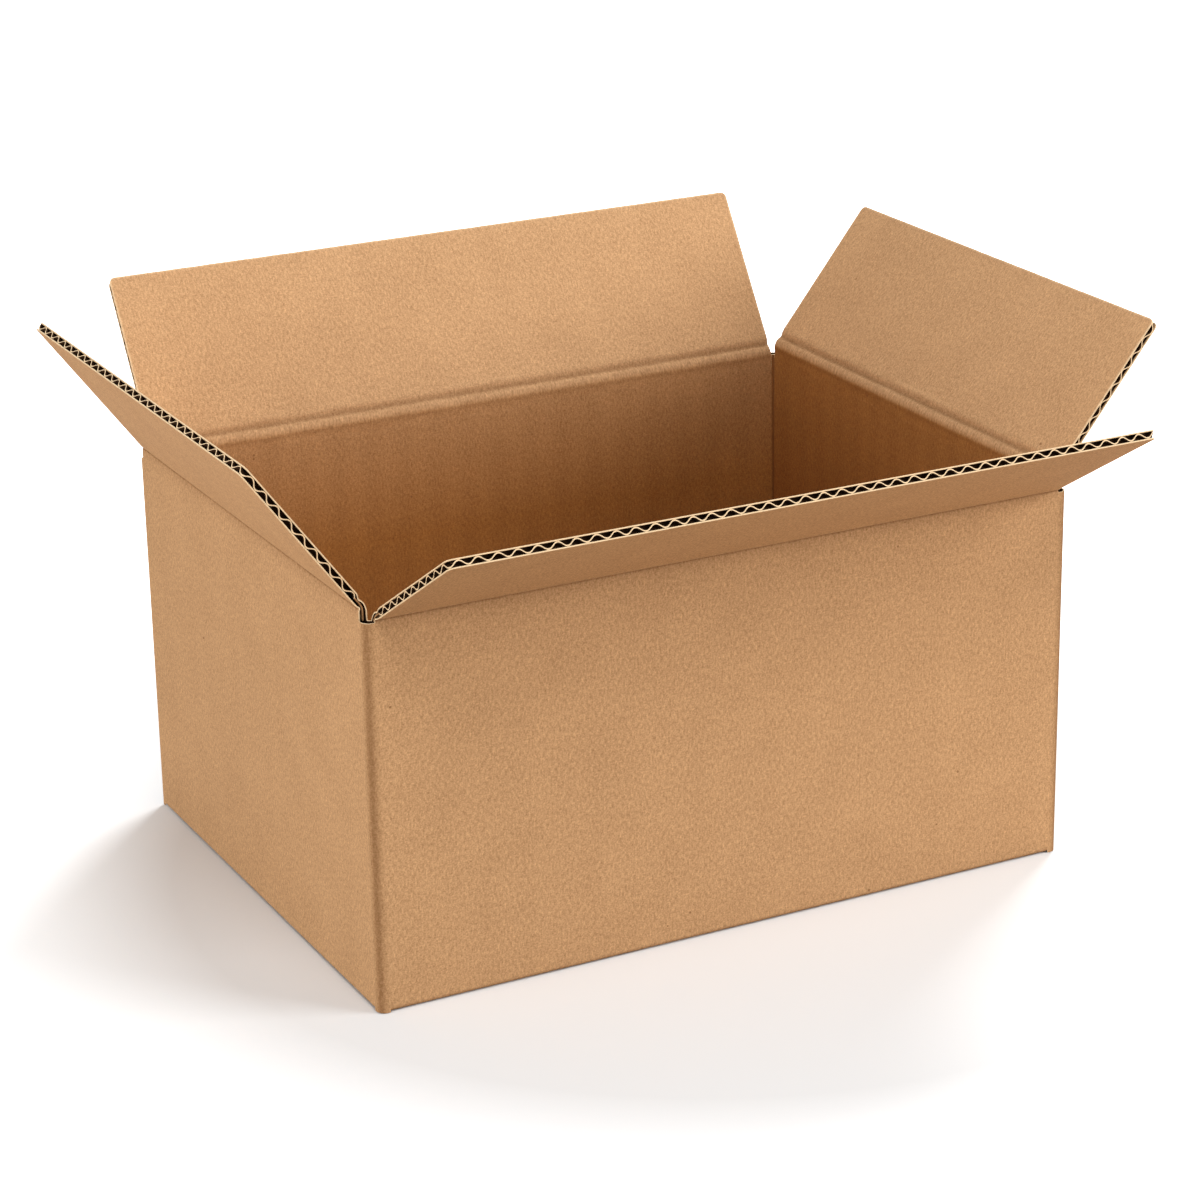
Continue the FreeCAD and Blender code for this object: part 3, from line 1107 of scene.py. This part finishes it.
def build_floor(studio):
    """A large pale sheet of paper with the box's shadow; away from the box a painted glow,
    seen by the camera and in reflections, turns it white.
    """
    bm = bmesh.new()
    bmesh.ops.create_grid(bm, x_segments=1, y_segments=1, size=6)
    bmesh.ops.translate(bm, vec=(0, 0, -0.0003), verts=bm.verts)
    mesh = bpy.data.meshes.new("floor")
    bm.to_mesh(mesh)
    bm.free()
    material, tree, shader = start_material("floor_paper", 0.6, 0.1)
    path = node(tree, "ShaderNodeLightPath", (-600, -300))
    # Light that the floor throws back at the box is dimmer and warmer than what is seen of it
    bounce = opaque([value * warm for value, warm in zip(studio.floor, FLOOR_BOUNCE)])
    paper = mix_colour(tree, path.outputs["Is Camera Ray"], (-300, 100), bounce,
                       opaque(studio.floor))
    tree.links.new(paper, shader.inputs["Base Color"])
    glow = node(tree, "ShaderNodeEmission", (0, -300), Color=(1, 1, 1, 1))
    seen = math_node(tree, "MAXIMUM", (-400, -300), path.outputs["Is Camera Ray"],
                     path.outputs["Is Glossy Ray"])
    place = node(tree, "ShaderNodeTexCoord", (-1000, -600)).outputs["Object"]
    away = node(tree, "ShaderNodeVectorMath", (-800, -600), operation="DISTANCE")
    tree.links.new(place, away.inputs[0])
    away.inputs[1].default_value = SHADOW_MIDDLE
    level = ramp(tree, away.outputs["Value"], (-600, -600), SHADOW_NEAR, SHADOW_FAR, 0.0, 1.0)
    lift = math_node(tree, "MULTIPLY", (-200, -300), seen, level)
    tree.links.new(lift, glow.inputs["Strength"])
    both = node(tree, "ShaderNodeAddShader", (300, 0))
    tree.links.new(shader.outputs["BSDF"], both.inputs[0])
    tree.links.new(glow.outputs["Emission"], both.inputs[1])
    tree.links.new(both.outputs["Shader"], tree.nodes["Material Output"].inputs["Surface"])
    mesh.materials.append(material)
    floor = bpy.data.objects.new("floor", mesh)
    bpy.context.scene.collection.objects.link(floor)


def build_world(scene):
    """A soft pale surround, white where the camera sees it."""
    world = bpy.data.worlds.new("studio")
    scene.world = world
    world.use_nodes = True
    tree = world.node_tree
    back = tree.nodes["Background"]
    back.inputs["Color"].default_value = (1, 1, 1, 1)
    path = node(tree, "ShaderNodeLightPath", (-600, 0))
    seen = math_node(tree, "MAXIMUM", (-400, 0), path.outputs["Is Camera Ray"],
                     path.outputs["Is Transmission Ray"])
    strength = ramp(tree, seen, (-200, 0), 0, 1, WORLD_LIGHT, 1.0)
    tree.links.new(strength, back.inputs["Strength"])


# Each lamp's name, place and width in metres, and power in watts
LAMPS = (
    ("front", (1.6, -1.4, 1.0), 1.1, 37),
    ("left", (-2.4, -0.6, 0.5), 1.16, 40),
    ("back", (1.2, 1.0, 1.8), 0.8, 42),
    ("above", (-0.4, -1.2, 2.1), 1.0, 22),
)


def add_lamp(scene, level, name, place, size, power):
    """A square soft box aimed at the middle of the box."""
    lamp = bpy.data.lights.new(name, "AREA")
    lamp.shape = "SQUARE"
    lamp.size = size
    lamp.energy = power * level
    holder = bpy.data.objects.new(name, lamp)
    holder.location = place
    aim = Vector((0, 0, 0.1)) - Vector(place)
    holder.rotation_euler = aim.to_track_quat("-Z", "Y").to_euler()
    scene.collection.objects.link(holder)


def build_camera(scene, studio):
    """The camera at the photograph's angle."""
    data = bpy.data.cameras.new("camera")
    data.lens = studio.lens
    data.sensor_width = 36
    data.clip_end = 30
    camera = bpy.data.objects.new("camera", data)
    turn, rise = studio.azimuth, studio.elevation
    back = Vector((math.sin(turn) * math.cos(rise), -math.cos(turn) * math.cos(rise),
                   math.sin(rise)))
    right = (-back).cross(UP).normalized()
    above = right.cross(-back)
    tilt_right = right * math.cos(studio.roll) + above * math.sin(studio.roll)
    tilt_above = above * math.cos(studio.roll) - right * math.sin(studio.roll)
    turned = Matrix((tilt_right, tilt_above, back)).transposed().to_4x4()
    camera.matrix_world = Matrix.Translation(
        Vector(studio.target) + back * studio.distance) @ turned
    scene.collection.objects.link(camera)
    scene.camera = camera


class BOX_PT_panel(bpy.types.Panel):
    """Lists the pieces of the box."""
    bl_idname = "BOX_PT_panel"
    bl_label = "Open cardboard box"
    bl_space_type = "VIEW_3D"
    bl_region_type = "UI"
    bl_category = "Box"

    def draw(self, context):
        for operator in OPERATORS:
            self.layout.operator(operator.bl_idname)


GROUPS = {
    "board_sizes": BoardSizes,
    "kraft_colours": KraftColours,
    "studio_settings": StudioSettings,
}
OPERATORS = (BOX_OT_walls, BOX_OT_glue_tab, BOX_OT_bottom, BOX_OT_flaps, BOX_OT_creases,
             BOX_OT_stage)


def register():
    """Registers the classes and hangs their settings on the scene."""
    for item in (*GROUPS.values(), *OPERATORS, BOX_PT_panel):
        bpy.utils.register_class(item)
    for name, group in GROUPS.items():
        setattr(bpy.types.Scene, name, bpy.props.PointerProperty(type=group))


def unregister():
    """Takes the classes and their settings away again."""
    for name in GROUPS:
        delattr(bpy.types.Scene, name)
    for item in (BOX_PT_panel, *reversed(OPERATORS), *reversed(GROUPS.values())):
        bpy.utils.unregister_class(item)


def main():
    """Builds the whole box."""
    register()
    bpy.ops.box.walls()
    bpy.ops.box.glue_tab()
    bpy.ops.box.bottom()
    bpy.ops.box.flaps()
    bpy.ops.box.creases()
    bpy.ops.box.stage()


if __name__ == "__main__":
    main()
